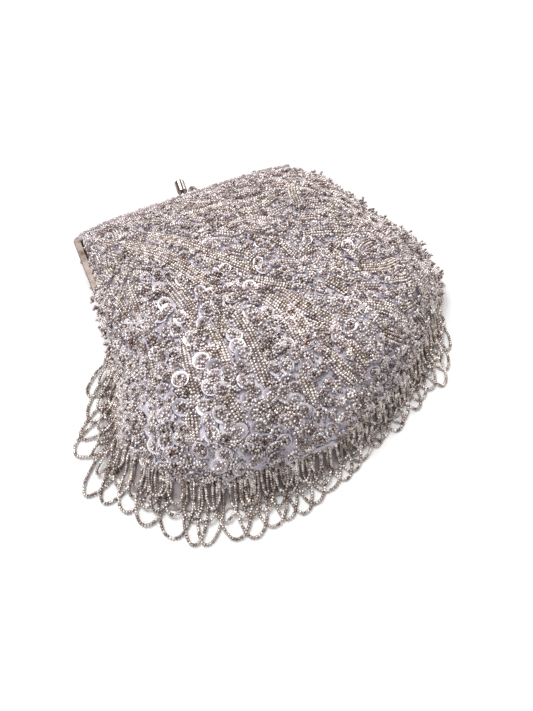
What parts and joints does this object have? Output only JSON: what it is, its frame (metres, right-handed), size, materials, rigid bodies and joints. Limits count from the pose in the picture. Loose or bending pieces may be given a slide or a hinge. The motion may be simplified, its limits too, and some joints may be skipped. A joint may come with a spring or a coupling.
{
  "type": "beaded evening bag",
  "caption": "Beaded evening bag with a hinged kiss-lock frame, a soft pouch covered in seed beads and cup sequins, and a looped bead fringe, lying on its back.",
  "frame": {"origin": "centre of the whole outline, on the surface the bag lies on", "axes": "+Z out of the beaded front, +Y from the bottom of the bag to the metal frame, +X the width, to the right as the front is seen with the frame at the top"},
  "size_m": [0.2309, 0.2211, 0.046],
  "materials": {
    "beadwork": "metal-lined glass seed beads and pearly cup sequins, warm silver",
    "satin": "lilac-grey satin weave",
    "lining": "smooth rayon lining, pale grey",
    "frame_metal": "polished nickel plate, warm, lightly worn",
    "clasp_metal": "mirror polished nickel",
    "ring_wire": "tarnished wire"
  },
  "bodies": {
    "pouch": {"rear_frame": "frame_metal", "left_hinge_rivet": "frame_metal", "right_hinge_rivet": "frame_metal", "rear_clasp_stem": "clasp_metal", "rear_clasp_knob": "clasp_metal", "left_ring_eye": "frame_metal", "right_ring_eye": "frame_metal", "rear_beadwork": "beadwork", "rear_satin": "satin", "rear_lining": "lining", "lining_pocket": "lining", "front_beadwork": "beadwork", "front_satin": "satin", "front_lining": "lining", "front_fold": "beadwork", "bead_fringe": "beadwork"},
    "front_half": {"front_frame": "frame_metal", "front_clasp_stem": "clasp_metal", "front_clasp_knob": "clasp_metal", "front_flap_beadwork": "beadwork", "front_flap_satin": "satin", "front_flap_lining": "lining"},
    "left_ring": {"left_chain_ring": "ring_wire"},
    "right_ring": {"right_chain_ring": "ring_wire"}
  },
  "joints": [
    {"name": "mouth", "type": "hinge", "parent": "pouch", "child": "front_half", "pos_m": [-0.0036, 0.04421, 0.0125], "axis": [1, 0, 0], "range_deg": [0, 60], "deforming": ["front_fold"]},
    {"name": "left_ring_swing", "type": "hinge", "parent": "pouch", "child": "left_ring", "pos_m": [-0.0566, 0.09961, 0.01055], "axis": [1, 0, 0], "range_deg": [-20, 160]},
    {"name": "right_ring_swing", "type": "hinge", "parent": "pouch", "child": "right_ring", "pos_m": [0.0494, 0.09961, 0.01055], "axis": [1, 0, 0], "range_deg": [-85, 75]}
  ]
}
